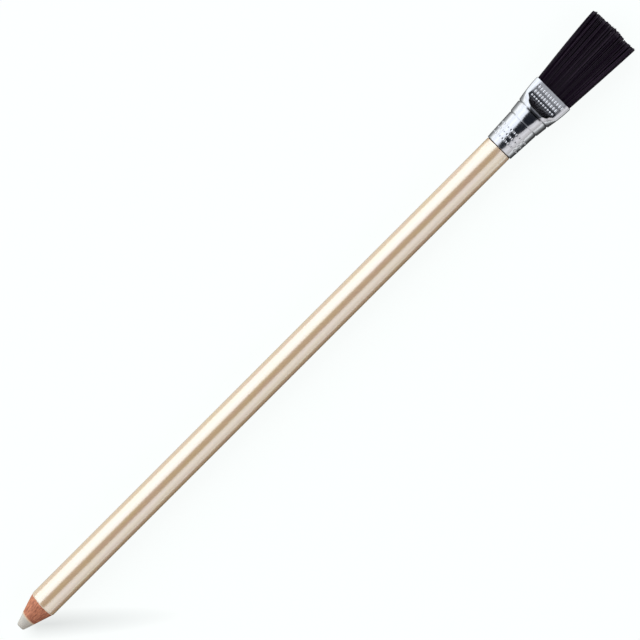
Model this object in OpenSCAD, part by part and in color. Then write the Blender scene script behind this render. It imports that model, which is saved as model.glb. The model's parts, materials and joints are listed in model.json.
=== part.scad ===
// Eraser pencil: a round cedar pencil with an eraser core, and a flat brush in a metal ferrule.
// It lies along X on a table at z = 0, with its point at -X and its brush at +X.
// The brush's two wide faces are parallel to the table.

/* [Barrel] */
// Length of the wooden blank, from the flat of the point to its end inside the ferrule
blank_l = 171; // [100:1:190]
// Diameter of the finished, lacquered barrel, whose end in the ferrule is turned down to the wood
barrel_d = 7.2; // [6.6:0.1:8.4]
// Diameter of the eraser core
core_d = 3.9; // [2:0.1:4.8]
// Thickness of the glue film between the two slats
glue_t = 0.06; // [0.04:0.01:0.2]
// Thickness of the ground coat on the wood
ground_t = 0.06; // [0.04:0.01:0.15]
// Thickness of the pearl lacquer over the ground coat
pearl_t = 0.16; // [0.06:0.01:0.2]
// Clearance between two pieces that are glued or coated face to face
bond_gap = 0.01; // [0.005:0.005:0.03]

/* [Point] */
// Full angle of the sharpened cone
point_angle = 36; // [24:1:50]
// Diameter of the flat at the end of the core
tip_d = 2.16; // [1:0.02:3]
// How far the sharpened cone stands off the barrel's centre line, towards the upper face
point_offset = 0.15; // [0:0.05:0.3]

/* [Ferrule] */
// Length of the ferrule, from the barrel end to the mouth
ferrule_l = 18.4; // [16.5:0.1:24]
// Thickness of the ferrule's sheet metal
wall = 0.25; // [0.15:0.05:0.35]
// Depth to which the barrel goes into the ferrule
socket_l = 9.6; // [8:0.1:10.4]
// Thickness of the cement between the bare end of the barrel and the ferrule's end
cement_t = 0.21; // [0.05:0.01:0.25]
// Gap between the lacquer's shoulder and the ferrule's end, where bare wood shows
shoulder_gap = 0.1; // [0.05:0.05:0.3]
// Distance from the ferrule's barrel end to the start of the cement
cement_at = 0.5; // [0.2:0.1:4]
// Growth in radius along the sleeve, from its end to the first groove
sleeve_flare = 0.4; // [0.1:0.05:0.6]
// Step in radius from the sleeve up to the band between the grooves
band_step = 0.17; // [0.05:0.01:0.3]
// Growth in radius along the band
band_flare = 0.28; // [0.1:0.02:0.5]
// Step in radius from the band up to the waist, where the flattening starts
waist_step = 0.14; // [0.05:0.01:0.3]
// Distance of the first groove's centre from the barrel end
groove_1_at = 8.1; // [7.6:0.1:8.6]
// Distance of the second groove's centre from the barrel end
groove_2_at = 11.4; // [11.1:0.1:11.9]
// Width of a groove
groove_w = 0.8; // [0.5:0.1:1]
// Depth of a groove
groove_depth = 0.13; // [0.05:0.01:0.2]
// Length of the round waist between the second groove and the flattening
waist_l = 0.3; // [0.25:0.05:0.5]
// Length of the ferrule over which it turns from round to flat
flatten_l = 1.9; // [1.6:0.1:2.6]
// Width of the mouth, outside
mouth_w = 11.1; // [10:0.1:13]
// Thickness of the mouth, outside
mouth_t = 5.5; // [4.5:0.1:7]
// Radius of the mouth's corners, outside
mouth_corner = 1.3; // [1:0.1:2]

/* [Prick marks] */
// Distance of the first ring of prick marks from the barrel end
prick_at = 2.1; // [1.5:0.1:3]
// Number of rings
prick_rings = 3; // [1:1:3]
// Distance from one ring to the next
prick_ring_pitch = 1.45; // [1.2:0.05:1.6]
// Distance from one mark to the next round the sleeve
prick_pitch = 0.9; // [0.8:0.05:1.5]
// Side of a mark
prick_w = 0.5; // [0.3:0.05:0.6]
// Depth of a mark
prick_depth = 0.1; // [0.05:0.01:0.12]

/* [Embossed panel] */
// Distance from the mouth to the first column of pips
pip_rim = 1.35; // [1:0.05:2]
// Distance from one column to the next
pip_column_pitch = 1.3; // [1:0.05:1.6]
// Distance from one pip to the next across the panel
pip_pitch = 0.74; // [0.6:0.02:1.2]
// Length of a pip along the ferrule
pip_l = 0.7; // [0.4:0.05:0.8]
// Width of a pip
pip_w = 0.42; // [0.3:0.02:0.5]
// Height of a pip
pip_h = 0.1; // [0.05:0.01:0.15]

/* [Brush] */
// Length of the bristles outside the mouth
tuft_l = 20.6; // [12:0.1:30]
// Width of the tuft at its end
tuft_end_w = 13.9; // [11.5:0.1:16]
// Thickness of the tuft at its end
tuft_end_t = 6.4; // [5.5:0.1:9]
// Clearance of the bristles in the mouth
tuft_fit = 0.05; // [0.02:0.01:0.2]
// Diameter of a bundle of bristles at the mouth
bundle_d = 0.5; // [0.4:0.05:1]
// Clearance between two bundles at the mouth
bundle_gap = 0.06; // [0.04:0.01:0.2]
// How much longer the bundles in the middle are cut than those at the edges
crown = 0.4; // [0:0.1:1]
// How much the cut ends differ in length
uneven = 0.25; // [0:0.05:0.8]
// Distance from the mouth to the axis about which the bristles bend
flex_at = 2.8; // [2.6:0.1:4]
// Clearance between the bending bristles and their roots
flex_gap = 0.15; // [0.1:0.05:0.4]

/* [Hidden] */
$fn = 96;

barrel_r = barrel_d / 2;
core_r = core_d / 2;
wood_r = barrel_r - pearl_t - ground_t - 2 * bond_gap;
ground_r = wood_r + bond_gap + ground_t;
tip_r = tip_d / 2;
// Room that a cutting shape has past the solid that it cuts
past = 1;

// Places along the pencil, from the flat of the point
ferrule_at = blank_l - socket_l;
coat_l = ferrule_at - shoulder_gap;
mouth_at = ferrule_at + ferrule_l;
flex_axis_at = mouth_at + flex_at;
overall_l = mouth_at + tuft_l + crown + uneven;

// The round sleeve's outer radius at each place along the ferrule, with its two rolled grooves
sleeve_r0 = wood_r + bond_gap + cement_t + wall;
sleeve_r1 = sleeve_r0 + sleeve_flare;
band_r0 = sleeve_r1 + band_step;
band_r1 = band_r0 + band_flare;
waist_r = band_r1 + waist_step;
waist_at = groove_2_at + groove_w / 2;
flatten_at = waist_at + waist_l;
groove_floor = 0.3 * groove_w;
SLEEVE = [
    [0, sleeve_r0],
    [groove_1_at - groove_w / 2, sleeve_r1],
    [groove_1_at - groove_floor / 2, sleeve_r1 - groove_depth],
    [groove_1_at + groove_floor / 2, sleeve_r1 - groove_depth],
    [groove_1_at + groove_w / 2, band_r0],
    [groove_2_at - groove_w / 2, band_r1],
    [groove_2_at - groove_floor / 2, band_r1 - groove_depth],
    [groove_2_at + groove_floor / 2, band_r1 - groove_depth],
    [waist_at, waist_r],
    [flatten_at, waist_r]
];

// The flattened stretch: places along it, and the points round each corner of a section
flat_at = flatten_at + flatten_l;
flatten_steps = 6;
corner_steps = 8;
// Half the flat that is left between two corners where the section is still round
round_flat = 0.03;
// Length of the round stub by which the flattened stretch is set into the waist's wall
stub_l = 0.2;
stub_inset = 0.04;
FLAT_PLACES = concat(
    [for (i = [0:flatten_steps]) flatten_at + flatten_l * i / flatten_steps],
    [for (i = [1:3]) flat_at + (ferrule_l - flat_at) * i / 3]
);

// The panel's pips stand in the flat by this much
pip_root = 0.05;
pip_rows = floor((mouth_w - 2 * mouth_corner) / pip_pitch) + 1;
pip_columns = floor((ferrule_l - flat_at - pip_rim - pip_l / 2) / pip_column_pitch) + 1;

// The tuft's root section fills the mouth, and its bundles of bristles stand in rows and columns
root_w = mouth_w - 2 * (wall + tuft_fit);
root_t = mouth_t - 2 * (wall + tuft_fit);
root_corner = mouth_corner - wall - tuft_fit;
columns = floor(root_w / (bundle_d + bundle_gap));
rows = floor(root_t / (bundle_d + bundle_gap));
bundle_end_d = min(tuft_end_w / columns, tuft_end_t / rows) - bundle_gap;
knuckle_r = root_t / 2 + (tuft_end_t - root_t) / 2 * flex_at / tuft_l;
rows_a_face = floor(rows / 3);

// The pencil lies on the ferrule's waist
axis_h = waist_r;

// Turns a shape that stands along Z from the flat of the point into its place on the table
module lie_down() {
    translate([-overall_l / 2, 0, axis_h])
        rotate([0, 90, 0])
            children();
}

// What the sharpener leaves: a cone at the point, set off the centre line, and the whole barrel
module sharpened() {
    cone_r = barrel_r + point_offset + past;
    cone_l = (cone_r - tip_r) / tan(point_angle / 2);
    intersection() {
        children();
        translate([-point_offset, 0, 0])
            rotate_extrude()
                polygon([
                    [0, 0],
                    [tip_r, 0],
                    [cone_r, cone_l],
                    [cone_r, blank_l + past],
                    [0, blank_l + past]
                ]);
    }
}

module tube(inner_r, outer_r, length) {
    rotate_extrude()
        translate([inner_r, 0])
            square([outer_r - inner_r, length]);
}

// The glue film's flat stretch between the two slats
module seam() {
    translate([-glue_t / 2, -barrel_r, -past])
        cube([glue_t, barrel_d, blank_l + 2 * past]);
}

// One half-round slat: side is -1 for the upper one and 1 for the lower one
module slat(side) {
    sharpened()
        intersection() {
            tube(core_r + bond_gap, wood_r, blank_l);
            translate([side * (barrel_r + glue_t / 2 + bond_gap), 0, blank_l / 2])
                cube([barrel_d, barrel_d + past, blank_l + past], center = true);
        }
}

// The sleeve's profile from place a to place b, with its radius reduced by inset
function sleeve_r(u) = lookup(u, SLEEVE);
function places(a, b) = concat([a], [for (p = SLEEVE) if (p[0] > a && p[0] < b) p[0]], [b]);
function skin(a, b, inset) = [for (u = places(a, b)) [sleeve_r(u) - inset, u]];
function reversed(list) = [for (i = [len(list) - 1:-1:0]) list[i]];

// Half-width, half-thickness and corner radius of the flattened stretch, outside
function ease(s) = (1 - cos(180 * min(1, max(0, s)))) / 2;
function mix(a, b, s) = a + (b - a) * s;
function half_w(u) = mix(waist_r, mouth_w / 2, sin(90 * min(1, (u - flatten_at) / (ferrule_l - flatten_at))));
function half_t(u) = mix(waist_r, mouth_t / 2, ease((u - flatten_at) / flatten_l));
function corner(u) = mix(waist_r - round_flat, mouth_corner, ease((u - flatten_at) / flatten_l));

// A ring of points: a rectangle of half-thickness t and half-width w with corners of radius c
function ring(t, w, c, z) = [
    for (k = [0:3], j = [0:corner_steps])
        let (a = 90 * k + 90 * j / corner_steps)
        [(k == 0 || k == 3 ? t - c : c - t) + c * cos(a), (k < 2 ? w - c : c - w) + c * sin(a), z]
];
function flat_ring(u, inset) = ring(half_t(u) - inset, half_w(u) - inset, corner(u) - inset, u);
ring_n = 4 * (corner_steps + 1);

// Faces between ring a and ring b, and over the first or the last ring
function band(a, b) = [
    for (i = [0:ring_n - 1])
        let (j = (i + 1) % ring_n)
        each [[a * ring_n + i, b * ring_n + i, b * ring_n + j],
            [a * ring_n + i, b * ring_n + j, a * ring_n + j]]
];
function cap(a) = [for (i = [1:ring_n - 2]) [a * ring_n, a * ring_n + i, a * ring_n + i + 1]];
function flipped(faces) = [for (f = faces) reversed(f)];

// A solid through a list of rings
module loft(rings) {
    last = len(rings) - 1;
    polyhedron(
        points = [for (r = rings) each r],
        faces = concat(cap(0), [for (i = [0:last - 1]) each band(i, i + 1)], flipped(cap(last)))
    );
}

// A shell whose rings run out along the outside and back along the inside
module shell(rings) {
    last = len(rings) - 1;
    polyhedron(
        points = [for (r = rings) each r],
        faces = concat([for (i = [0:last - 1]) each band(i, i + 1)], band(last, 0))
    );
}

// The small marks that a tool rolls round the sleeve
module prick_marks() {
    count = floor(2 * PI * sleeve_r(prick_at) / prick_pitch);
    for (ring_i = [0:prick_rings - 1], k = [0:count - 1]) {
        u = prick_at + ring_i * prick_ring_pitch;
        rotate([0, 0, 360 * k / count])
            translate([sleeve_r(u), 0, u])
                cube([2 * prick_depth, prick_w, prick_w], center = true);
    }
}

// The pips pressed out of one wide face: side is -1 for the upper one and 1 for the lower one
module pips(side) {
    for (c = [0:pip_columns - 1], r = [0:pip_rows - 1])
        translate([
            side * (mouth_t / 2 + (pip_h - pip_root) / 2),
            (r - (pip_rows - 1) / 2) * pip_pitch,
            ferrule_l - pip_rim - c * pip_column_pitch
        ])
            cube([pip_h + pip_root, pip_w, pip_l], center = true);
}

module ferrule_sleeve() {
    difference() {
        rotate_extrude()
            polygon(concat(skin(0, flatten_at, 0), reversed(skin(0, flatten_at, wall))));
        prick_marks();
    }
}

module ferrule_mouth() {
    stub = [
        ring(waist_r - stub_inset, waist_r - stub_inset, waist_r - stub_inset - round_flat,
            flatten_at - stub_l),
        ring(waist_r - stub_inset, waist_r - stub_inset, waist_r - stub_inset - round_flat,
            flatten_at + stub_inset)
    ];
    stub_bore_r = waist_r - wall + stub_inset;
    bore = [
        ring(stub_bore_r, stub_bore_r, stub_bore_r - round_flat, flatten_at + stub_inset),
        ring(stub_bore_r, stub_bore_r, stub_bore_r - round_flat, flatten_at - stub_l)
    ];
    places = [for (u = FLAT_PLACES) if (u > flatten_at) u];
    shell(concat(
        stub,
        [for (u = places) flat_ring(u, 0)],
        [for (u = reversed(places)) flat_ring(u, wall)],
        bore
    ));
    pips(-1);
    pips(1);
}

// A place in the tuft: column i and row j at share s of the way from the mouth to the end
function across(i, n, root, end, s) = (i - (n - 1) / 2) * mix(root, end, s) / n;
function bundle_at(i, j, z) =
    let (s = (z - mouth_at) / tuft_l)
    [across(j, rows, root_t, tuft_end_t, s), across(i, columns, root_w, tuft_end_w, s), z];
function beyond_corner(i, j) =
    let (
        p = bundle_at(i, j, mouth_at),
        dy = abs(p[1]) - (root_w / 2 - root_corner),
        dx = abs(p[0]) - (root_t / 2 - root_corner)
    )
    dx > 0 && dy > 0 && norm([dx, dy]) > root_corner - bundle_d / 2;

// Where a row's bundles start, on the round end that lets the tuft bend without touching its roots
function bundle_start(j) =
    let (reach = abs(bundle_at(0, j, flex_axis_at)[0]) + bundle_end_d / 2)
    flex_axis_at - sqrt(max(0, pow(knuckle_r, 2) - pow(reach, 2)));
// The cut end of a bundle: longer in the middle, and not quite even
function bundle_end(i, j) =
    mouth_at + tuft_l + crown * cos(180 * (i + 0.5 - columns / 2) / columns)
        + uneven * sin(137 * i + 71 * j + 29 * i * j);

module bundle(i, j) {
    a = bundle_at(i, j, bundle_start(j));
    b = bundle_at(i, j, bundle_end(i, j));
    run = b - a;
    translate(a)
        rotate([0, acos(run[2] / norm(run)), atan2(run[1], run[0])])
            cylinder(h = norm(run), d1 = bundle_d, d2 = bundle_end_d);
}

module bristle_rows(first, last) {
    for (j = [first:last], i = [0:columns - 1])
        if (!beyond_corner(i, j))
            bundle(i, j);
}

// Rod of eraser compound through the whole blank
module eraser_core() {
    color("gainsboro")
        lie_down()
            sharpened()
                cylinder(r = core_r, h = blank_l);
}

module upper_slat() {
    color("peru")
        lie_down()
            slat(-1);
}

module lower_slat() {
    color("peru")
        lie_down()
            slat(1);
}

// Two strips of glue, one on each side of the core
module slat_glue() {
    color("khaki")
        lie_down()
            sharpened()
                intersection() {
                    tube(core_r + bond_gap, wood_r, blank_l);
                    seam();
                }
}

module ground_coat() {
    color("ivory")
        lie_down()
            sharpened()
                tube(wood_r + bond_gap, ground_r, coat_l);
}

module pearl_coat() {
    color("wheat")
        lie_down()
            sharpened()
                tube(ground_r + bond_gap, barrel_r, coat_l);
}

// One piece of plated sheet: the round sleeve with its grooves, and the flattened mouth
module ferrule() {
    color("silver")
        lie_down()
            translate([0, 0, ferrule_at]) {
                ferrule_sleeve();
                ferrule_mouth();
            }
}

// Cement between the bare end of the barrel and the widening sleeve
module ferrule_cement() {
    bore_r = wood_r + bond_gap;
    color("burlywood")
        lie_down()
            translate([0, 0, ferrule_at])
                rotate_extrude()
                    polygon(concat(
                        skin(cement_at, socket_l, wall + bond_gap),
                        [[bore_r, socket_l], [bore_r, cement_at]]
                    ));
}

// Resin that pots the bristles' butt ends, behind the waist
module resin_plug() {
    start = socket_l + bond_gap;
    color("goldenrod")
        lie_down()
            translate([0, 0, ferrule_at])
                rotate_extrude()
                    polygon(concat(
                        [[0, start]],
                        skin(start, waist_at, wall + bond_gap),
                        [[0, waist_at]]
                    ));
}

// The packed roots of the bristles in the mouth, with a hollow end in which the tuft bends
module bristle_roots() {
    start = waist_at + bond_gap;
    inset = wall + tuft_fit;
    start_r = waist_r - inset;
    color("dimgray")
        lie_down()
            difference() {
                translate([0, 0, ferrule_at])
                    loft(concat(
                        [ring(start_r, start_r, start_r - round_flat, start)],
                        [for (u = FLAT_PLACES) flat_ring(u, inset)],
                        [ring(root_t / 2, root_w / 2, root_corner, ferrule_l + flex_at)]
                    ));
                translate([0, 0, flex_axis_at])
                    rotate([90, 0, 0])
                        cylinder(r = knuckle_r + flex_gap, h = root_w + past, center = true);
            }
}

module front_bristles() {
    color("black")
        lie_down()
            bristle_rows(0, rows_a_face - 1);
}

module middle_bristles() {
    color("black")
        lie_down()
            bristle_rows(rows_a_face, rows - rows_a_face - 1);
}

module back_bristles() {
    color("black")
        lie_down()
            bristle_rows(rows - rows_a_face, rows - 1);
}

eraser_core();
upper_slat();
lower_slat();
slat_glue();
ground_coat();
pearl_coat();
ferrule();
ferrule_cement();
resin_plug();
bristle_roots();
front_bristles();
middle_bristles();
back_bristles();
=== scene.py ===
"""Eraser pencil with a flat brush: its finishes and fine shapes, on a pale table in soft studio light."""
import json
import math
import random

import bpy
import numpy as np
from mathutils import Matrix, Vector, noise


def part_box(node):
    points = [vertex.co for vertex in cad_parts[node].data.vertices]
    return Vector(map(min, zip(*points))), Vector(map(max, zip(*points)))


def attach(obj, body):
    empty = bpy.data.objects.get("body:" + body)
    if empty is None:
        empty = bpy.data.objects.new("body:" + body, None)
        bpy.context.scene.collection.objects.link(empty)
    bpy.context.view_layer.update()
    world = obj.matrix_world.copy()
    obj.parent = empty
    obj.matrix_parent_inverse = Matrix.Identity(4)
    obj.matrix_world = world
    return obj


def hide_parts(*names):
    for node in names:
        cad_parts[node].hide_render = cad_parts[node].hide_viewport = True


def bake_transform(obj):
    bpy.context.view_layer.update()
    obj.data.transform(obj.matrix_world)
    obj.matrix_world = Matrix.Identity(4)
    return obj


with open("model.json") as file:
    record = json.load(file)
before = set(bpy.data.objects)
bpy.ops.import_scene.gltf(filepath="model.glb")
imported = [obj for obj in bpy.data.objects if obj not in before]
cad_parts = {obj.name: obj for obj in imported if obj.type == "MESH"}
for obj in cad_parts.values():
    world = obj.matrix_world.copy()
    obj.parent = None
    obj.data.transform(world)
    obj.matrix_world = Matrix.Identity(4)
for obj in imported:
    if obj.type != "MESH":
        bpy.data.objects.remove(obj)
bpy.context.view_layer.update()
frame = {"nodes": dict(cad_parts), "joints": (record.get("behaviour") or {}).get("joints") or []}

# A millimetre in metres. Places and sizes are in millimetres: x runs from the point to the brush, y to the
# left and z up
MM = 0.001


def box_mm(node):
    """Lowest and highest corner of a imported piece, in millimetres."""
    low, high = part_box(node)
    return low / MM, high / MM


joint = frame["joints"][0]
core_low, core_high = box_mm("eraser_core")
coat_high = box_mm("pearl_coat")[1]
ferrule_low, ferrule_high = box_mm("ferrule")

# The barrel
AXIS_Z = joint["pos_m"][2] / MM
CORE_R = core_high.z - AXIS_Z
BARREL_R = coat_high.z - AXIS_Z
BLANK_END_X = core_high.x
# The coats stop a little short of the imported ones, inside the ferrule
COAT_END_X = coat_high.x - 0.1
# Thickness of both coats together, and of the pearl coat alone
COATS = 0.11
PEARL_FILM = 0.05
WOOD_R = BARREL_R - COATS
# Half the glue line between the two slats, and the hair of air that keeps neighbouring skins apart
GLUE_HALF = 0.04
SLIP = 0.008

# The sharpened point: a cone whose end is worn to a small flat with a soft rim
HALF_ANGLE = math.radians(18)
TIP_X = core_low.x - 0.25
TIP_R = 1.0
WORN_R = 0.16
# The sharpener cut a little off true: how far the cone stands above the centre line and to its right
POINT_UP = 0.15
POINT_RIGHT = 0.05
# Ridges that the blade left along the grain: length, width, and height in the eraser and in the cedar
RIDGE_L = 2.5
RIDGE_W = 0.4
ERASER_RIDGE = 0.02
CEDAR_RIDGE = 0.04
# How far behind the cut the barrel has its next points
BEHIND_CUT = 2

# The ferrule, with places measured from its barrel end
FERRULE_X, MOUTH_X = ferrule_low.x, ferrule_high.x
FERRULE_L = MOUTH_X - FERRULE_X
WAIST_R = ferrule_high.z - AXIS_Z
WALL = 0.25
LIP_R = 0.16
MOUTH_LIP_R = 0.08
MOUTH_W = ferrule_high.y - ferrule_low.y
MOUTH_T = 5.5
MOUTH_CORNER = 1.3
SHOULDER_AT = 11.65
PANEL_AT = 14.15
# The share of the shoulder's slope over which it bends down
SHOULDER_BEND = 0.42
GROOVES = (8.1, 11.4)
# The grooves are rolled deeper at the two sides than on the faces
GROOVE_DEPTH = 0.05
GROOVE_DEEPER = 0.23
GROOVE_W = 0.15
# The sleeve's radius by place, and how far its bends are softened
SLEEVE = ((0.0, 3.83), (7.7, 4.23), (8.5, 4.40), (11.0, 4.68), (SHOULDER_AT, WAIST_R), (PANEL_AT, WAIST_R))
SLEEVE_SOFT = 0.12
# Half the width of the flat on each face, by place: a hint on the sleeve, which opens like a V to the panel
FLATS = ((4.0, 0.0), (GROOVES[1], 0.85), (SHOULDER_AT, 1.1), (13.3, 2.5), (PANEL_AT, 3.95), (FERRULE_L, 3.55))
# How far that flat sits to the right of the middle, or to the left below zero, for the press was off true
FLAT_LEAN = ((4.0, 0.0), (8.0, 0.25), (SHOULDER_AT, 0.25), (PANEL_AT, -0.2), (FERRULE_L, 0.25))
# Rings of prick marks: their places, the marks' spacing, width, depth and the room that a ring takes
PRICK_RINGS = (2.1, 3.55, 5.0)
PRICK_PITCH = 0.88
PRICK_D = 0.5
PRICK_DEPTH = 0.085
PRICK_ROOM = 0.6
# Columns of pips on the panels: distance from the mouth, how many, and how long each is
PIP_COLUMNS = ((1.31, 12, 0.98), (2.68, 10, 0.9), (3.88, 10, 0.45))
PIP_PITCH = 0.745
PIP_W = 0.44
PIP_H = 0.12
# How far past the flat's edge the pips still rise
PIP_PAST = 0.6
# How dull the pips are, how far the sheet drawn tight between them stays bright, and how dull the plain sheet
# is by its distance from the mouth
PIP_DULL = 0.27
TIGHT_BRIGHT = 0.95
PLAIN_DULL = ((0.75, 1.0), (1.0, 0.64), (3.0, 0.5), (3.7, 0.0))
# Painted shade in the grooves: place, how much and how wide. It fades out sideways beyond the faces
PAINTED_GROOVE_SHADE = ((GROOVES[0], 0.2, 0.13), (GROOVES[1], 1.0, 0.32))
PAINTED_GROOVE_SHADE_Y = -0.2
PAINTED_GROOVE_SHADE_FADE = ((2.0, 1.0), (2.6, 0.0))
# Mesh points round the ferrule, and rings of them along it: from, to and how many, close where it is worked
ROUND = 336
RINGS = ((LIP_R, 1.6, 7), (1.7, 5.4, 46), (5.6, 7.4, 8), (7.5, 8.8, 22), (9.0, 10.6, 8), (10.7, 12.1, 24),
         (12.2, PANEL_AT - 0.1, 16), (PANEL_AT - 0.04, PANEL_AT, 2), (PANEL_AT + 0.04, PANEL_AT + 0.04, 1),
         (PANEL_AT + 0.1, FERRULE_L - MOUTH_LIP_R, 52))

# The brush
STRAND_D = 0.25
STRAND_PITCH = 0.27
STRAND_SIDES = 6
ROOT_W = MOUTH_W - 2 * WALL - 0.1
ROOT_T = MOUTH_T - 2 * WALL - 0.1
ROOT_CORNER = 1.0
ROOT_DEPTH = 4.0
TUFT_L = max(box_mm(n)[1].x for n in ("front_bristles", "middle_bristles", "back_bristles")) - MOUTH_X
TUFT_HALF_W = box_mm("middle_bristles")[1].y
TUFT_END_T = 6.3
TUFT_LEAN = 0.45
# How far short of the longest strands the brush ends, by place across it
TUFT_ENDS = ((-6.5, 0.6), (-3.0, 0.48), (0.3, 0.0), (3.6, 0.45), (6.5, 0.7), (7.3, 1.1))
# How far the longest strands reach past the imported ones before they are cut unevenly, and at most
REACH_MORE = 0.08
REACH_MOST = 0.12
# The narrowest and widest locks: big ones run through all layers, and each row has small ones of its own.
# A big lock is also a little longer or shorter than its neighbours
BIG_LOCK = (1.0, 2.0)
BIG_LOCK_LONGER = (-0.25, 0.1)
SMALL_LOCK = (0.5, 1.1)
SMALL_LOCK_ROWS = 9
# The share of the way to its lock's middle that a strand bends
BIG_PULL = 0.22
SMALL_PULL = 0.25
# How far strands stray at the root and at the end, with a few wild ones, and how far they bow between
ROOT_STRAY = 0.03
END_STRAY = 0.12
WILD_STRAY = 0.4
WILD_SHARE = 0.06
BOW = 0.1
# How unevenly the ends are cut, and the few strands that are broken short
CUT_SPREAD = 0.14
BROKEN = (0.3, 1.4)
BROKEN_SHARE = 0.04
# Faded strands are faded in full past this share of their length, and less and less towards the mouth
FADED_PAST = 0.3
# A strand's points: behind the mouth in millimetres, below zero, and then in shares of its free length
STATIONS = np.concatenate([[-ROOT_DEPTH, -0.5], np.linspace(0, 0.9, 11), [0.95, 0.985, 1.0]])


def linear(code):
    """An sRGB hex colour as linear red, green, blue and alpha."""
    parts = [int(code[i:i + 2], 16) / 255 for i in (0, 2, 4)]
    return [c / 12.92 if c <= 0.04045 else ((c + 0.055) / 1.055) ** 2.4 for c in parts] + [1.0]


def mix(a, b, share):
    """The value that lies a share of the way from a to b."""
    return a + (b - a) * share


def read_off(pairs, place):
    """The value at a place, from pairs of place and value with straight lines between them."""
    return np.interp(place, *np.transpose(pairs))


# Finishes


def new_finish(name):
    """An empty material and its node tree."""
    material = bpy.data.materials.new(name)
    material.use_nodes = True
    material.node_tree.nodes.clear()
    return material, material.node_tree


def add(tree, kind, sockets=(), **settings):
    """One node with its settings; each socket in sockets gets a value or a link."""
    node = tree.nodes.new("ShaderNode" + kind)
    for key, value in settings.items():
        setattr(node, key, value)
    for key, value in dict(sockets).items():
        if isinstance(value, bpy.types.NodeSocket):
            tree.links.new(value, node.inputs[key])
        else:
            node.inputs[key].default_value = value
    return node


def pearl_lacquer():
    """Champagne pearl nitro lacquer, dipped and left glossy: mica flakes under a clear skin give a
    broad silky highlight with a thin sharp one on top."""
    material, tree = new_finish("pearl_lacquer")
    place = add(tree, "TexCoord").outputs["Object"]
    # Mica flakes are about 0.02 mm; they are drawn 0.25 mm wide so that they show
    flakes = add(tree, "TexNoise", {"Vector": place, "Scale": 1 / (0.25 * MM), "Detail": 2.0})
    # Where more flakes lie flat the champagne turns from golden to pinkish, in clouds that the dipping
    # drew out to 9 mm by 1.6 mm
    dipped = add(tree, "VectorMath", {0: place, 1: (1 / (9 * MM), 1 / (1.6 * MM), 1 / (1.6 * MM))},
                 operation="MULTIPLY")
    cloud = add(tree, "TexNoise", {"Vector": dipped.outputs[0], "Scale": 1.0, "Detail": 2.0})
    lie = add(tree, "MapRange", {"Value": cloud.outputs["Fac"], 1: 0.35, 2: 0.65})
    tone = add(tree, "Mix", {0: lie.outputs[0], 6: linear("FAD497"), 7: linear("FACCAB")}, data_type="RGBA")
    colour = add(tree, "Mix", {0: flakes.outputs["Fac"], 6: tone.outputs[2], 7: linear("FAD5A8")},
                 data_type="RGBA")
    # Orange peel of a dipped coat, about 1.5 mm from swell to swell
    peel = add(tree, "TexNoise", {"Vector": place, "Scale": 1 / (1.5 * MM), "Detail": 1.0})
    bump = add(tree, "Bump", {"Height": peel.outputs["Fac"], "Strength": 0.12, "Distance": 0.01 * MM})
    # The flakes are coated with titania, whose index is about 2.5; the clear skin over them is 1.5
    shader = add(tree, "BsdfPrincipled", {
        "Base Color": colour.outputs[2], "Roughness": 0.22, "IOR": 2.5, "Specular IOR Level": 1.0,
        "Specular Tint": linear("ECFBFF"),
        "Coat Weight": 1.0, "Coat Roughness": 0.06, "Coat IOR": 1.5, "Normal": bump.outputs["Normal"]})
    add(tree, "OutputMaterial", {"Surface": shader.outputs[0]})
    return material


def cream_lacquer():
    """Cream ground lacquer, several coats: an opaque, slightly glossy cut edge."""
    material, tree = new_finish("cream_lacquer")
    place = add(tree, "TexCoord").outputs["Object"]
    cloud = add(tree, "TexNoise", {"Vector": place, "Scale": 1 / (0.4 * MM), "Detail": 3.0})
    colour = add(tree, "Mix", {0: cloud.outputs["Fac"], 6: linear("E2D3B9"), 7: linear("EFE2CA")},
                 data_type="RGBA")
    shader = add(tree, "BsdfPrincipled", {"Base Color": colour.outputs[2], "Roughness": 0.4, "IOR": 1.5})
    add(tree, "OutputMaterial", {"Surface": shader.outputs[0]})
    return material


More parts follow.
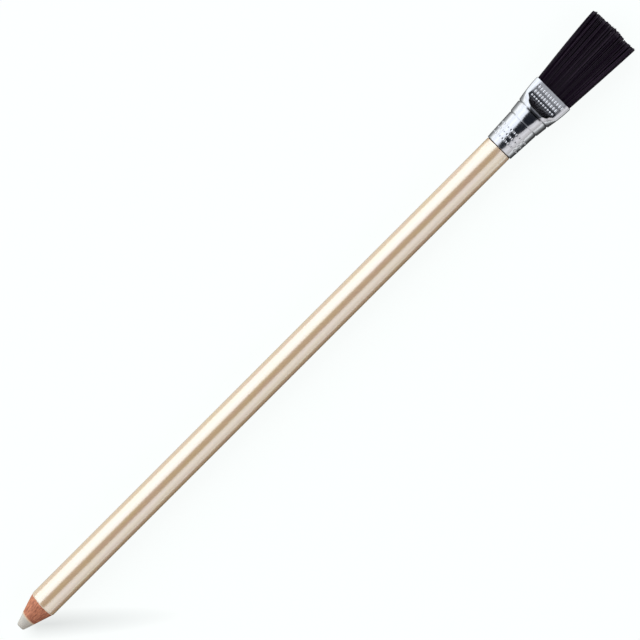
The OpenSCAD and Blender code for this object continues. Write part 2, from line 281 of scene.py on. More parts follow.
def cut_cedar():
    """Incense cedar cut by a sharpener: warm red-brown with darker grain along the pencil, fine
    open flecks, a pale rim where glue has soaked in round the core, and painted light that makes it lighter
    to the left."""
    material, tree = new_finish("cut_cedar")
    place = add(tree, "TexCoord").outputs["Object"]
    along, sideways, _ = add(tree, "SeparateXYZ", {0: place}).outputs
    # Grain runs along the pencil: streaks about 3 mm long and 0.4 mm wide
    streaks = add(tree, "VectorMath", {0: place, 1: (1 / (3 * MM), 1 / (0.4 * MM), 1 / (0.4 * MM))},
                  operation="MULTIPLY")
    grain = add(tree, "TexNoise", {"Vector": streaks.outputs[0], "Scale": 1.0, "Detail": 5.0,
                                   "Roughness": 0.6})
    # Painted light and shade: the wood is made lighter to the left and darker to the right
    painted_left_light = add(tree, "MapRange", {"Value": sideways, 1: -3 * MM, 2: 3 * MM, 3: -0.05, 4: 0.11})
    grain_and_painted_light = add(tree, "Math", {0: grain.outputs["Fac"], 1: painted_left_light.outputs[0]}, operation="ADD")
    early = add(tree, "MapRange", {"Value": grain_and_painted_light.outputs[0], 1: 0.38, 2: 0.64})
    wood = add(tree, "Mix", {0: early.outputs[0], 6: linear("96563D"), 7: linear("DA8B66")}, data_type="RGBA")
    # Flecks: cut pores about 0.9 mm long and 0.16 mm wide
    pores = add(tree, "VectorMath", {0: place, 1: (1 / (0.9 * MM), 1 / (0.16 * MM), 1 / (0.16 * MM))},
                operation="MULTIPLY")
    fleck = add(tree, "TexNoise", {"Vector": pores.outputs[0], "Scale": 1.0, "Detail": 3.0})
    open_pore = add(tree, "MapRange", {"Value": fleck.outputs["Fac"], 1: 0.55, 2: 0.72, 4: 0.5})
    flecked = add(tree, "Mix", {0: open_pore.outputs[0], 6: wood.outputs[2], 7: linear("7A3F2A")},
                  data_type="RGBA")
    # The glue's pale rim is told by the distance from the centre line
    from_axis = add(tree, "VectorMath", {0: place, 1: (0, 0, AXIS_Z * MM)}, operation="SUBTRACT")
    flat = add(tree, "VectorMath", {0: from_axis.outputs[0], 1: (0, 1, 1)}, operation="MULTIPLY")
    radius = add(tree, "VectorMath", {0: flat.outputs[0]}, operation="LENGTH")
    rim = add(tree, "MapRange", {"Value": radius.outputs[1], 1: (CORE_R + 0.06) * MM, 2: (CORE_R + 0.16) * MM,
                                 3: 0.85, 4: 0.0})
    glued = add(tree, "Mix", {0: rim.outputs[0], 6: flecked.outputs[2], 7: linear("E8D3B4")},
                data_type="RGBA")
    # Cement that crept out has stained the wood under the ferrule's edge, and painted shade darkens it
    # further there
    cement_stain_and_painted_shade = add(tree, "MapRange", {"Value": along, 1: (COAT_END_X - 1) * MM, 2: (COAT_END_X - 0.5) * MM})
    colour = add(tree, "Mix", {0: cement_stain_and_painted_shade.outputs[0], 6: glued.outputs[2], 7: linear("33211A")},
                 data_type="RGBA")
    bump = add(tree, "Bump", {"Height": fleck.outputs["Fac"], "Strength": 0.4, "Distance": 0.03 * MM})
    shader = add(tree, "BsdfPrincipled", {
        "Base Color": colour.outputs[2], "Roughness": 0.62, "IOR": 1.5, "Normal": bump.outputs["Normal"]})
    add(tree, "OutputMaterial", {"Surface": shader.outputs[0]})
    return material


def eraser_compound():
    """Vulcanised oil eraser filled with fine pumice: matt warm grey, faintly speckled and scuffed, painted
    lighter to the left.
    """
    material, tree = new_finish("eraser_compound")
    place = add(tree, "TexCoord").outputs["Object"]
    # Pumice grit is about 0.05 mm; it is drawn 0.12 mm wide so that it shows
    grit = add(tree, "TexNoise", {"Vector": place, "Scale": 1 / (0.12 * MM), "Detail": 4.0, "Roughness": 0.7})
    speck = add(tree, "MapRange", {"Value": grit.outputs["Fac"], 1: 0.3, 2: 0.7})
    # Painted light and shade: the left side is made lighter and the right darker, with smudges about 1.4 mm
    # wide
    sideways = add(tree, "SeparateXYZ", {0: place}).outputs[1]
    painted_light_across = add(tree, "MapRange", {"Value": sideways, 1: -1.6 * MM, 2: 1.6 * MM, 3: -0.2, 4: 0.8})
    smudge = add(tree, "TexNoise", {"Vector": place, "Scale": 1 / (1.4 * MM), "Detail": 2.0})
    smudged_with_painted_light = add(tree, "Math", {0: smudge.outputs["Fac"], 1: 0.4, 2: painted_light_across.outputs[0]},
                operation="MULTIPLY_ADD")
    base = add(tree, "Mix", {0: smudged_with_painted_light.outputs[0], 6: linear("C6BFB2"), 7: linear("E6DFD4")}, data_type="RGBA")
    colour = add(tree, "Mix", {0: speck.outputs[0], 6: linear("BDB6AA"), 7: base.outputs[2]},
                 data_type="RGBA")
    bump = add(tree, "Bump", {"Height": grit.outputs["Fac"], "Strength": 0.5, "Distance": 0.02 * MM})
    shader = add(tree, "BsdfPrincipled", {
        "Base Color": colour.outputs[2], "Roughness": 0.8, "IOR": 1.5, "Normal": bump.outputs["Normal"]})
    add(tree, "OutputMaterial", {"Surface": shader.outputs[0]})
    return material


def bright_nickel():
    """Nickel-plated brass sheet, drawn and polished: a clear mirror with faint polishing lines round the
    sleeve, duller on the two embossed panels, with painted shade darkening its grooves."""
    material, tree = new_finish("bright_nickel")
    place = add(tree, "TexCoord").outputs["Object"]
    # Polishing lines run round the sleeve, about 0.05 mm apart; they are drawn 0.12 mm apart
    round_it = add(tree, "VectorMath", {0: place, 1: (1 / (0.12 * MM), 1 / (6 * MM), 1 / (6 * MM))},
                   operation="MULTIPLY")
    lines = add(tree, "TexNoise", {"Vector": round_it.outputs[0], "Scale": 1.0, "Detail": 3.0})
    # Handling leaves smudges about 3 mm wide
    smudge = add(tree, "TexNoise", {"Vector": place, "Scale": 1 / (3 * MM), "Detail": 2.0})
    polished = add(tree, "MapRange", {"Value": smudge.outputs["Fac"], 1: 0.3, 2: 0.7, 3: 0.13, 4: 0.21})
    pressed = add(tree, "Attribute", attribute_name="pressed").outputs["Fac"]
    roughness = add(tree, "Mix", {0: pressed, 2: polished.outputs[0], 3: 0.56}, data_type="FLOAT")
    nickel = add(tree, "Mix", {0: smudge.outputs["Fac"], 6: linear("C4C5C9"), 7: linear("CCCDD1")},
                 data_type="RGBA")
    # Painted shade: the grooves are darkened almost to black
    painted_groove_shade = add(tree, "Attribute", attribute_name="painted_groove_shade").outputs["Fac"]
    colour = add(tree, "Mix", {0: painted_groove_shade, 6: nickel.outputs[2], 7: linear("17171B")}, data_type="RGBA")
    # Drawn sheet is never quite true: shallow waves about 1.2 mm wide bend the reflections
    wave = add(tree, "TexNoise", {"Vector": place, "Scale": 1 / (1.2 * MM), "Detail": 1.0})
    waved = add(tree, "Bump", {"Height": wave.outputs["Fac"], "Strength": 1.0, "Distance": 0.035 * MM})
    bump = add(tree, "Bump", {"Height": lines.outputs["Fac"], "Strength": 0.15, "Distance": 0.004 * MM,
                              "Normal": waved.outputs["Normal"]})
    shader = add(tree, "BsdfPrincipled", {
        "Base Color": colour.outputs[2], "Metallic": 1.0, "Roughness": roughness.outputs[0],
        "Normal": bump.outputs["Normal"]})
    add(tree, "OutputMaterial", {"Surface": shader.outputs[0]})
    return material


def black_nylon():
    """Black nylon filament, extruded and cut: a soft sheen along each strand, some strands less deeply
    dyed than others, and greyed, scuffed tips."""
    material, tree = new_finish("black_nylon")
    place = add(tree, "TexCoord").outputs["Object"]
    cloud = add(tree, "TexNoise", {"Vector": place, "Scale": 1 / (1.2 * MM), "Detail": 2.0})
    dyed = add(tree, "Mix", {0: cloud.outputs["Fac"], 6: linear("0C030E"), 7: linear("190A1E")},
               data_type="RGBA")
    faded = add(tree, "Attribute", attribute_name="faded").outputs["Fac"]
    strand = add(tree, "Mix", {0: faded, 6: dyed.outputs[2], 7: linear("2E2230")}, data_type="RGBA")
    scuffed = add(tree, "Attribute", attribute_name="scuffed").outputs["Fac"]
    colour = add(tree, "Mix", {0: scuffed, 6: strand.outputs[2], 7: linear("39323B")}, data_type="RGBA")
    roughness = add(tree, "MapRange", {"Value": cloud.outputs["Fac"], 1: 0.3, 2: 0.7, 3: 0.38, 4: 0.5})
    shader = add(tree, "BsdfPrincipled", {
        "Base Color": colour.outputs[2], "Roughness": roughness.outputs[0], "IOR": 1.53,
        "Specular IOR Level": 0.11})
    add(tree, "OutputMaterial", {"Surface": shader.outputs[0]})
    return material


def set_glue(name, pale, dark, roughness):
    """A set glue, cement or resin: cloudy, with a slight skin."""
    material, tree = new_finish(name)
    place = add(tree, "TexCoord").outputs["Object"]
    cloud = add(tree, "TexNoise", {"Vector": place, "Scale": 1 / (0.6 * MM), "Detail": 3.0})
    colour = add(tree, "Mix", {0: cloud.outputs["Fac"], 6: linear(dark), 7: linear(pale)}, data_type="RGBA")
    shader = add(tree, "BsdfPrincipled", {
        "Base Color": colour.outputs[2], "Roughness": roughness, "IOR": 1.5})
    add(tree, "OutputMaterial", {"Surface": shader.outputs[0]})
    return material


# Meshes


def piece(name, points, faces, finish, slot, crease=40):
    """A mesh object from points in millimetres, shaded smooth except at edges sharper than crease."""
    mesh = bpy.data.meshes.new(name)
    mesh.from_pydata((np.asarray(points) * MM).tolist(), [], faces)
    mesh.shade_smooth()
    mesh.set_sharp_from_angle(angle=math.radians(crease))
    mesh.materials.append(finish)
    made = bpy.data.objects.new(name, mesh)
    bpy.context.scene.collection.objects.link(made)
    return made


def mark(made, name, values):
    """Keeps a number for each point of a piece under a name, for its finish to read."""
    made.data.attributes.new(name, "FLOAT", "POINT").data.foreach_set("value", np.ravel(values))


def loft(rings, joined=False):
    """Points and faces of a skin over rings of points; joined closes it on itself, else it is capped. It
    faces outwards if the rings turn from the top to the left and follow each other towards the brush."""
    rings = np.asarray(rings)
    count, n = rings.shape[:2]
    faces = []
    for i in range(count if joined else count - 1):
        a, b = i * n, (i + 1) % count * n
        faces += [(a + j, b + j, b + (j + 1) % n, a + (j + 1) % n) for j in range(n)]
    if not joined:
        faces += [tuple(range(n)), tuple(range((count - 1) * n, count * n))[::-1]]
    return rings.reshape(-1, 3), faces


def at(x, radius, angle):
    """Points at a place along the pencil, a distance from its centre line and an angle from upright."""
    x, radius, angle = np.broadcast_arrays(x, radius, angle)
    return np.stack([x, radius * np.sin(angle), AXIS_Z + radius * np.cos(angle)], axis=-1)


def cut_x(radius, angle):
    """Where the sharpened cone, which stands off the centre line, meets a radius at an angle."""
    reach = np.hypot(radius * np.sin(angle) + POINT_RIGHT, radius * np.cos(angle) - POINT_UP) - TIP_R
    return TIP_X + (reach + np.hypot(reach, WORN_R)) / 2 / math.tan(HALF_ANGLE)


def ridged_cut_x(radius, angle, height):
    """The cone's place with the small uneven ridges that the blade leaves along the grain."""
    front = cut_x(radius, angle)
    ridge = (RIDGE_L, RIDGE_W, RIDGE_W)
    lift = [noise.noise(Vector(point / ridge)) for point in at(front, radius, angle)]
    return front + np.array(lift) * height


def eraser_point(finish):
    """The eraser core: its worn flat, its cut cone and its rod inside the wood."""
    angle = np.linspace(0, 2 * math.pi, 96, endpoint=False)
    radii = np.concatenate([np.linspace(0.15, TIP_R - 0.2, 5), np.linspace(TIP_R - 0.1, CORE_R, 22)])
    rings = [at(ridged_cut_x(radius, angle, ERASER_RIDGE), radius, angle) for radius in radii]
    rings.append(at(BLANK_END_X, CORE_R, angle))
    return piece("eraser_point", *loft(rings), finish, "eraser_compound")


def cedar_half(name, middle, finish):
    """One glued half of the barrel: its cut cone in front, and the half tube behind it."""
    spread = math.pi / 2 - GLUE_HALF / WOOD_R
    inner = CORE_R + SLIP
    radii = np.linspace(inner, WOOD_R, 24)
    loops = []
    # Backwards round the barrel, so that the skin over these lengthwise loops faces outwards
    for angle in np.linspace(middle + spread, middle - spread, 73):
        front = ridged_cut_x(radii, angle, CEDAR_RIDGE)
        loops.append(np.concatenate([
            at(np.array([BLANK_END_X, front[0] + BEHIND_CUT]), inner, angle),
            at(front, radii, angle),
            at(np.array([front[-1] + BEHIND_CUT, BLANK_END_X]), WOOD_R, angle)]))
    return piece(name, *loft(loops), finish, "cedar")


def coat(name, inner, outer, finish, slot, ragged):
    """One lacquer coat: a thin tube whose front is cut by the sharpener, with a slightly ragged edge."""
    angle = np.linspace(0, 2 * math.pi, 240, endpoint=False)
    # The edge's chips are a seventh of a radian long
    chip = np.array([noise.noise(Vector((math.cos(a) * 7, math.sin(a) * 7, outer))) for a in angle]) * ragged
    rings = [at(COAT_END_X, inner, angle), at(cut_x(inner, angle) + chip, inner, angle)]
    rings += [at(cut_x(r, angle) + chip, r, angle) for r in np.linspace(inner, outer - 0.01, 4)[1:]]
    # Both edges of the outer skin are eased a little
    rings.append(at(cut_x(outer, angle) + chip + 0.03, outer, angle))
    rings += [at(x, outer, angle) for x in np.linspace(TIP_X + 9, COAT_END_X - 0.04, 40)]
    rings.append(at(COAT_END_X, outer - 0.02, angle))
    return piece(name, *loft(rings, joined=True), finish, slot)


def rolled(u):
    """The shape of the rolled grooves along the sleeve, from 0 to 1 at their bottoms."""
    return sum(np.exp(-((u - groove) / GROOVE_W) ** 2) for groove in GROOVES)


def sleeve_r(u):
    """The sleeve's outer radius, with its two rolled grooves."""
    soft = np.mean([read_off(SLEEVE, u + d) for d in np.linspace(-SLEEVE_SOFT, SLEEVE_SOFT, 5)], axis=0)
    return soft - GROOVE_DEPTH * rolled(u)


def section(u, inset):
    """Points round the ferrule at a place along it, evenly spaced: side and height from the centre line."""
    radius = float(sleeve_r(u))
    down = min(1.0, max(0.0, (u - SHOULDER_AT) / (PANEL_AT - SHOULDER_AT)))
    bent = down ** 2 / (2 * SHOULDER_BEND) if down < SHOULDER_BEND else down - SHOULDER_BEND / 2
    ramp = bent / (1 - SHOULDER_BEND / 2)
    widened = max(0.0, (u - SHOULDER_AT) / (FERRULE_L - SHOULDER_AT))
    half_w = mix(radius, MOUTH_W / 2, math.sin(math.pi / 2 * widened)) - inset
    half_t = mix(radius, MOUTH_T / 2, ramp) - inset
    corner_z = mix(radius, MOUTH_CORNER, ramp) - inset
    flat = float(read_off(FLATS, u))
    lean = float(read_off(FLAT_LEAN, u))
    turn = np.linspace(0, math.pi / 2, 60)
    z = half_t - corner_z + corner_z * np.cos(turn)
    quarters = []
    for edge in (flat - lean, flat + lean):
        y = edge + (half_w - edge) * np.sin(turn)
        quarters.append(np.concatenate([[[0, half_t]], np.stack([y, z], -1), [[half_w, 0]]]))
    left, right = quarters
    whole = np.concatenate([left, (left * (1, -1))[::-1][1:], (right * (-1, -1))[1:],
                            (right * (-1, 1))[::-1][1:]])
    girth = np.concatenate([[0], np.cumsum(np.hypot(*np.diff(whole, axis=0).T))])
    even = np.linspace(0, girth[-1], ROUND, endpoint=False)
    return np.stack([np.interp(even, girth, whole[:, 0]), np.interp(even, girth, whole[:, 1])], -1)


def ring(u, inset):
    """The ferrule's section as points, with heights from the centre line; inset is how far under its skin."""
    side_up = section(u, inset)
    return np.stack([np.full(ROUND, FERRULE_X + u), side_up[:, 0], side_up[:, 1]], -1)


def pips(u, y):
    """Height of the pips pressed out of a panel, and where the sheet is drawn tight between two of them."""
    height, tight = np.zeros_like(y), np.zeros_like(y)
    for column, count, pip_l in PIP_COLUMNS:
        row = np.clip(np.round(y / PIP_PITCH - 0.5), -count / 2, count / 2 - 1) + 0.5
        across = (y - row * PIP_PITCH) / (PIP_W / 2)
        along = (FERRULE_L - column - u) / (pip_l / 2)
        height = np.maximum(height, 1 - np.abs(across) ** 1.3 - along ** 4)
        tight = np.maximum(tight, (abs(along) < 1.1) * (np.abs(y) < count * PIP_PITCH / 2))
    return PIP_H * np.clip(height, 0, 1), tight * (height < 0)


def panel(u, y):
    """At points across a panel: how far its pips lift the sheet, and how dull the sheet is there."""
    within = read_off(FLATS, u) - np.sign(y) * read_off(FLAT_LEAN, u) - np.abs(y)
    height, tight = pips(u, y)
    plain = read_off(PLAIN_DULL, FERRULE_L - u)
    dull = np.where(height > 0, PIP_DULL, plain * (1 - TIGHT_BRIGHT * tight))
    return (within > -PIP_PAST) * height, dull * np.clip(1 + within, 0, 1)


def pricks(u, share):
    """Depth of the rings of prick marks round the sleeve, each with a slight raised rim; share is the way
    round, from 0 to 1."""
    depth = np.zeros_like(share)
    for place in PRICK_RINGS:
        count = round(2 * math.pi * float(sleeve_r(place)) / PRICK_PITCH)
        across = (share * count - np.round(share * count)) * PRICK_PITCH
        from_centre = np.hypot(across, u - place) / (PRICK_D / 2)
        rim = np.exp(-((from_centre - 1.35) / 0.3) ** 2)
        depth = depth + PRICK_DEPTH * (np.exp(-from_centre ** 4) - 0.35 * rim)
    return depth


def worked_sheet(places):
    """The ferrule's outer skin with its marks worked in, ring by ring, and how dull each point is."""
    smooth = np.array([ring(u, 0) for u in places])
    run_round = np.roll(smooth, -1, axis=1) - np.roll(smooth, 1, axis=1)
    normal = np.cross(np.gradient(smooth, axis=0), run_round)
    normal /= np.linalg.norm(normal, axis=2, keepdims=True)
    share = np.linspace(0, 1, ROUND, endpoint=False)
    lift, dull = np.zeros(smooth.shape[:2]), np.zeros(smooth.shape[:2])
    for i, u in enumerate(places):
        y = smooth[i, :, 1]
        if u > PANEL_AT:
            lift[i], dull[i] = panel(u, y)
        elif PRICK_RINGS[0] - PRICK_ROOM < u < PRICK_RINGS[-1] + PRICK_ROOM:
            lift[i] = -pricks(u, share)
        else:
            lift[i] = -GROOVE_DEEPER * rolled(u) * (y / WAIST_R) ** 4
    return smooth + normal * lift[:, :, None], dull


def ferrule_shell(finish):
    """The ferrule: one piece of sheet metal with rolled grooves, prick marks and two embossed panels."""
    outer, dull = worked_sheet(np.concatenate([np.linspace(*stretch) for stretch in RINGS]))
    turn = np.linspace(0, math.pi / 2, 6)[1:]
    barrel_edge = [ring(LIP_R * (1 - math.sin(a)), LIP_R * (1 - math.cos(a))) for a in turn[::-1]]
    mouth_edge = [ring(FERRULE_L - MOUTH_LIP_R * (1 - math.sin(a)), MOUTH_LIP_R * (1 - math.cos(a)))
                  for a in turn]
    # The inside is plain, so it has fewer rings
    back = np.concatenate([
        np.linspace(FERRULE_L, PANEL_AT, 8), np.linspace(PANEL_AT, SHOULDER_AT + 0.15, 10)[1:],
        np.linspace(GROOVES[1], 0.02, 20)])
    rings = np.concatenate([barrel_edge, outer, mouth_edge, [ring(u, WALL) for u in back]])
    rings[:, :, 2] += AXIS_Z
    shell = piece("ferrule_shell", *loft(rings, joined=True), finish, "plated_sheet", crease=60)
    pressed = np.zeros(rings.shape[:2])
    pressed[len(barrel_edge):len(barrel_edge) + len(outer)] = dull
    mark(shell, "pressed", pressed)
    # Painted shade in the grooves, kept near the middle of the top and bottom faces
    along = rings[:, :, 0] - FERRULE_X
    painted_groove_shade = sum(amount * np.exp(-((along - groove) / width) ** 2) for groove, amount, width in PAINTED_GROOVE_SHADE)
    mark(shell, "painted_groove_shade", painted_groove_shade * read_off(PAINTED_GROOVE_SHADE_FADE, np.abs(rings[:, :, 1] - PAINTED_GROOVE_SHADE_Y)))
    return shell


def strand_roots():
    """Where each strand leaves the mouth: a close-packed pattern in a rectangle with round corners."""
    roots = []
    half_w, half_t = (ROOT_W - STRAND_D) / 2, (ROOT_T - STRAND_D) / 2
    rise = STRAND_PITCH * math.sqrt(3) / 2
    rows = int(half_t / rise)
    columns = round(half_w / STRAND_PITCH)
    for row in range(-rows, rows + 1):
        for column in range(-columns, columns + 1):
            y = (column + (row % 2) / 2) * half_w / columns
            z = row * rise
            past_y = max(0.0, abs(y) - half_w + ROOT_CORNER)
            past_z = max(0.0, abs(z) - half_t + ROOT_CORNER)
            if abs(y) <= half_w and math.hypot(past_y, past_z) <= ROOT_CORNER:
                roots.append((y, z, row / rows))
    return roots


def lock_edges(rng, narrow, wide):
    """Edges between neighbouring locks of bristles across the brush, at uneven distances."""
    edges = [-TUFT_HALF_W]
    while edges[-1] < TUFT_HALF_W:
        edges.append(edges[-1] + rng.uniform(narrow, wide))
    return edges


def lock_of(edges, value):
    """The lock that a place falls in: its number and its middle."""
    i = max(0, min(len(edges) - 2, sum(e <= value for e in edges) - 1))
    return i, (edges[i] + edges[i + 1]) / 2


def strand(rng, root, big, small, big_longer):
    """One strand: the points of its middle, its thickness, its turn, the slant of its cut and its fading."""
    y0, z0, level = root
    y0 += rng.uniform(-ROOT_STRAY, ROOT_STRAY)
    z0 += rng.uniform(-ROOT_STRAY, ROOT_STRAY)
    limit = TUFT_HALF_W - STRAND_D / 2
    y1 = y0 * 2 * limit / (ROOT_W - STRAND_D) + TUFT_LEAN
    z1 = z0 * TUFT_END_T / ROOT_T
    i, big_middle = lock_of(big, y1)
    _, small_middle = lock_of(small[int((level + 1) * (SMALL_LOCK_ROWS / 2 - 0.01))], y1)
    pull = SMALL_PULL * (small_middle - y1)
    split = BIG_PULL * (big_middle - y1)
    stray = rng.uniform(-END_STRAY, END_STRAY)
    if rng.random() < WILD_SHARE:
        stray += rng.uniform(-WILD_STRAY, WILD_STRAY)
    aim = min(max(y1 + pull + stray, TUFT_LEAN - limit), TUFT_LEAN + limit)
    reach = TUFT_L + REACH_MORE - float(read_off(TUFT_ENDS, y1)) + big_longer[i] + rng.gauss(0, CUT_SPREAD)
    if rng.random() < BROKEN_SHARE:
        reach -= rng.uniform(*BROKEN)
    reach = min(reach, TUFT_L + REACH_MOST)
    bow = rng.uniform(-BOW, BOW)
    middle = []
    for s in STATIONS:
        if s < 0:
            middle.append((MOUTH_X + s, y0, z0))
            continue
        # Small locks gather from half way on, and big ones part only at the very end
        gather = s ** 2.2
        y = mix(y0, y1, s) + (aim - y1) * gather + split * s ** 12 + bow * math.sin(math.pi * s)
        z = mix(z0, z1, s) + 0.6 * stray * gather - 0.1 * z1 * gather * abs(pull)
        middle.append((MOUTH_X + reach * s, y, z))
    thickness = rng.uniform(0.9, 1.08)
    spin = rng.uniform(0, 1)
    slant = rng.uniform(-0.5, 0.5)
    # Most strands keep nearly all their dye
    tone = rng.random() ** 3
    return middle, thickness, spin, slant, tone


def strand_layer(name, strands, finish):
    """A layer of strands: six-sided rods with a slanted, slightly narrower cut end."""
    turn = np.linspace(0, 2 * math.pi, STRAND_SIDES, endpoint=False)
    last = len(STATIONS) - 1
    points, faces, scuffed, faded = [], [], [], []
    for middle, thickness, spin, slant, tone in strands:
        start = len(points)
        for k, (x, y, z) in enumerate(middle):
            r = STRAND_D / 2 * thickness * (0.86 if k == last else 1)
            for a in turn + spin:
                dy, dz = r * math.sin(a), r * math.cos(a)
                points.append((x + (slant * dy if k == last else 0), y + dy, AXIS_Z + z + dz))
                scuffed.append(1.0 if k >= last - 1 else 0.0)
                faded.append(tone * float(np.clip(STATIONS[k] / FADED_PAST, 0, 1)))
        skin = loft(np.reshape(points[start:], (len(STATIONS), STRAND_SIDES, 3)))[1]
        faces += [tuple(start + j for j in face) for face in skin]
    tuft = piece(name, points, faces, finish, "bristle_nylon", crease=50)
    mark(tuft, "scuffed", scuffed)
    mark(tuft, "faded", faded)
    return tuft


def bristles(finish):
    """Three layers of strands, which spread from the mouth, gather into locks and end unevenly."""
    rng = random.Random(7)
    big = lock_edges(rng, *BIG_LOCK)
    small = [lock_edges(rng, *SMALL_LOCK) for _ in range(SMALL_LOCK_ROWS)]
    big_longer = [rng.uniform(*BIG_LOCK_LONGER) for _ in big]
    layers = {"front_strands": [], "middle_strands": [], "back_strands": []}
    for root in strand_roots():
        level = root[2]
        layer = "front_strands" if level > 0.36 else "back_strands" if level < -0.36 else "middle_strands"
        layers[layer].append(strand(rng, root, big, small, big_longer))
    return [strand_layer(name, strands, finish) for name, strands in layers.items()]


# The object


def dress():
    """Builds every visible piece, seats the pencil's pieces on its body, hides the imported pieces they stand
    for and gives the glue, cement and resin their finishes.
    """
    cedar = cut_cedar()
    cream = cream_lacquer()
    nylon = black_nylon()
    pearl_inner = BARREL_R - PEARL_FILM
    pencil = [
        (eraser_point(eraser_compound()), "eraser_core"),
        (cedar_half("upper_cedar", 0.0, cedar), "upper_slat"),
        (cedar_half("lower_cedar", math.pi, cedar), "lower_slat"),
        (coat("cream_coat", WOOD_R + SLIP, pearl_inner, cream, "ground_lacquer", 0.05), "ground_coat"),
        (coat("pearl_barrel", pearl_inner + SLIP, BARREL_R, pearl_lacquer(), "pearl_lacquer", 0.08),
         "pearl_coat"),
        (ferrule_shell(bright_nickel()), "ferrule"),
    ]
    for made, node in pencil:
        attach(made, "pencil")
        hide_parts(node)
    # Each layer of strands stands for imported bristles, which are hidden
    stood_for = (["front_bristles"], ["middle_bristles", "bristle_roots"], ["back_bristles"])
    for tuft, nodes in zip(bristles(nylon), stood_for):
        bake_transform(tuft)
        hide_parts(*nodes)
    hidden = {
        "slat_glue": set_glue("wood_glue", "D8BE92", "B8925F", 0.4),
        "ferrule_cement": set_glue("brown_cement", "8A5A3C", "6A3F2A", 0.6),
        "resin_plug": set_glue("amber_resin", "C08A3A", "8F5E1E", 0.2),
    }
    for node, finish in hidden.items():
        for slot in frame["nodes"][node].material_slots:
            slot.material = finish


# The table, the light and the camera


def white_laminate(tree, place):
    """The table as the camera sees it: matt white laminate, faintly clouded and lit almost to white, with a
    painted shadow by the tip.
    """
    cloud = add(tree, "TexNoise", {"Vector": place, "Scale": 3.0, "Detail": 2.0})
    colour = add(tree, "Mix", {0: cloud.outputs["Fac"], 6: linear("D6DADA"), 7: linear("DCE0E0")},
                 data_type="RGBA")
    lit = add(tree, "BsdfDiffuse", {"Color": colour.outputs[2]})
    # Painted shadow beside the tip: the table's glow is dimmed in half of an oval, which starts at the tip
    painted_shadow_mapping = add(tree, "Mapping", {"Vector": place, "Location": (-95.6 * MM, -4.3 * MM, 0),
                                   "Rotation": (0, 0, math.radians(-41)), "Scale": (32 * MM, 3.6 * MM, 1)},
                 vector_type="TEXTURE")
    shadow = add(tree, "TexGradient", {"Vector": painted_shadow_mapping.outputs[0]}, gradient_type="SPHERICAL")
    beyond = add(tree, "SeparateXYZ", {0: painted_shadow_mapping.outputs[0]}).outputs[0]
    begins = add(tree, "MapRange", {"Value": beyond, 1: -0.2, 2: -0.08})
    depth = add(tree, "Math", {0: shadow.outputs[1], 1: begins.outputs[0]}, operation="MULTIPLY")
    brightness = add(tree, "MapRange", {"Value": depth.outputs[0], 3: 1.09, 4: 0.84})
    glow = add(tree, "Emission", {"Color": linear("FBFEFD"), "Strength": brightness.outputs[0]})
    return add(tree, "MixShader", {0: 0.86, 1: lit.outputs[0], 2: glow.outputs[0]})


def white_cards(tree, place):
    """The table as the pencil mirrors it, glowing: a white card on each side, with painted shade between them
    where the pencil's own shadow would lie, and dark past the brush."""
    x, y, _ = add(tree, "SeparateXYZ", {0: place}).outputs
    # Beside the ferrule and far off, both cards are bright, and brighter further from the pencil: painted
    # shade next to it
    left = add(tree, "MapRange", {"Value": y, 1: 5 * MM, 2: 34 * MM, 3: 0.03, 4: 1.7})
    right = add(tree, "MapRange", {"Value": y, 1: -10 * MM, 2: -50 * MM, 3: 0.03, 4: 1.3})
    bright = add(tree, "Math", {0: left.outputs[0], 1: right.outputs[0]}, operation="ADD")
    # Along the barrel they are dimmed by painted shade, and the left one comes close
    close_left = add(tree, "MapRange", {"Value": y, 1: 1 * MM, 2: 6 * MM, 4: 0.5})
    dimmed_by_painted_shade = add(tree, "Math", {0: right.outputs[0], 1: 0.3, 2: close_left.outputs[0]}, operation="MULTIPLY_ADD")
    off = add(tree, "Math", {0: y}, operation="ABSOLUTE")
    far_off = add(tree, "MapRange", {"Value": off.outputs[0], 1: 60 * MM, 2: 110 * MM})
    by_ferrule = add(tree, "MapRange", {"Value": x, 1: 50 * MM, 2: 61 * MM})
    open_table = add(tree, "Math", {0: by_ferrule.outputs[0], 1: far_off.outputs[0]}, operation="MAXIMUM")
    cards = add(tree, "Mix", {0: open_table.outputs[0], 2: dimmed_by_painted_shade.outputs[0], 3: bright.outputs[0]},
                data_type="FLOAT")
    up_to_brush = add(tree, "MapRange", {"Value": x, 1: 88 * MM, 2: 105 * MM, 3: 1.0, 4: 0.0})
    strength = add(tree, "Math", {0: cards.outputs[0], 1: up_to_brush.outputs[0]}, operation="MULTIPLY")
    return add(tree, "Emission", {"Color": linear("FBFEFD"), "Strength": strength.outputs[0]})


def pale_table():
    """A wide pale table, near white to the camera, which the pencil mirrors as two white cards."""
    half = 6.0
    corners = [(-half, -half, 0), (half, -half, 0), (half, half, 0), (-half, half, 0)]
    mesh = bpy.data.meshes.new("table_top")
    mesh.from_pydata(corners, [], [(0, 1, 2, 3)])
    material, tree = new_finish("pale_table")
    place = add(tree, "TexCoord").outputs["Object"]
    ray = add(tree, "LightPath").outputs["Is Camera Ray"]
    cards, seen = white_cards(tree, place), white_laminate(tree, place)
    both = add(tree, "MixShader", {0: ray, 1: cards.outputs[0], 2: seen.outputs[0]})
    add(tree, "OutputMaterial", {"Surface": both.outputs[0]})
    mesh.materials.append(material)
    table = bpy.data.objects.new("table_top", mesh)
    bpy.context.scene.collection.objects.link(table)


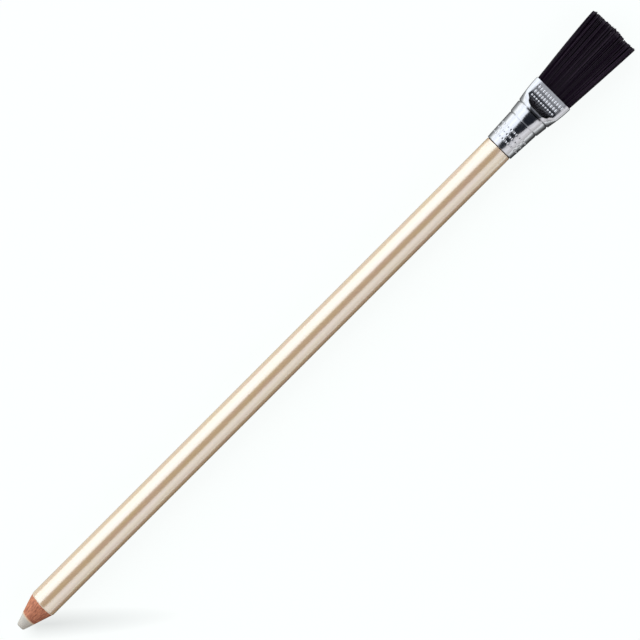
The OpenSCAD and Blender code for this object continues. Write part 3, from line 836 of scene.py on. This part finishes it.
def softbox(name, side, top, bottom, strength, colour):
    """A long lamp beside the pencil that fills the sky from top to bottom, in degrees from overhead."""
    middle, half = math.radians((top + bottom) / 2), math.radians((bottom - top) / 2)
    centre = Vector((0, side * math.sin(middle), math.cos(middle)))
    lamp = bpy.data.lights.new(name, "AREA")
    lamp.shape = "RECTANGLE"
    lamp.size, lamp.size_y = 4.4, 2 * math.tan(half)
    lamp.energy = strength * lamp.size * lamp.size_y
    lamp.color = linear(colour)[:3]
    stand = bpy.data.objects.new(name, lamp)
    stand.location = centre + Vector((-0.5, 0, 0))
    stand.rotation_euler = (-centre).to_track_quat("-Z", "Y").to_euler()
    bpy.context.scene.collection.objects.link(stand)


def studio():
    """A large softbox at the left of the picture and a dimmer one at the right, each in three bands of its
    own brightness, in a grey room that is dark overhead."""
    scene = bpy.context.scene
    scene.view_settings.view_transform = "Standard"
    for top, bottom, strength in ((15, 20, 1.6), (20, 45, 4.45), (45, 91, 5.1)):
        softbox("left_softbox", 1, top, bottom, strength, "F5FAFF")
    for top, bottom, strength in ((27, 45, 2.5), (45, 77, 3.0), (77, 91, 2.3)):
        softbox("right_softbox", -1, top, bottom, strength, "FAF8F8")
    world = bpy.data.worlds.new("studio")
    scene.world = world
    world.use_nodes = True
    tree = world.node_tree
    tree.nodes.clear()
    height = add(tree, "SeparateXYZ", {0: add(tree, "TexCoord").outputs["Generated"]}).outputs[2]
    room = add(tree, "ValToRGB", {0: height})
    for place, code in ((0.4, "0A0A0C"), (0.56, "84868C"), (0.84, "7A7C82"), (0.95, "1E222B")):
        room.color_ramp.elements.new(place).color = linear(code)
    room.color_ramp.elements[0].color = linear("0A0A0C")
    room.color_ramp.elements[-1].color = linear("1E222B")
    # The camera sees white past the table's edge instead of the room
    ray = add(tree, "LightPath").outputs["Is Camera Ray"]
    tone = add(tree, "Mix", {0: ray, 6: room.outputs[0], 7: linear("FBFEFD")}, data_type="RGBA")
    sky = add(tree, "Background", {"Color": tone.outputs[2]})
    add(tree, "OutputWorld", {"Surface": sky.outputs[0]})


def camera():
    """Straight above the pencil and far off, with a long lens, turned so that the pencil runs from corner
    to corner."""
    distance = 3000.0
    frame_w = 152.6
    lens = bpy.data.cameras.new("camera")
    lens.sensor_width = 36.0
    lens.lens = lens.sensor_width * distance / frame_w
    lens.clip_start, lens.clip_end = 0.1, 30.0
    eye = bpy.data.objects.new("camera", lens)
    eye.location = (1.65 * MM, 1.15 * MM, (distance + AXIS_Z) * MM)
    eye.rotation_euler = (0, 0, math.radians(-45))
    bpy.context.scene.collection.objects.link(eye)
    bpy.context.scene.camera = eye


dress()
pale_table()
studio()
camera()
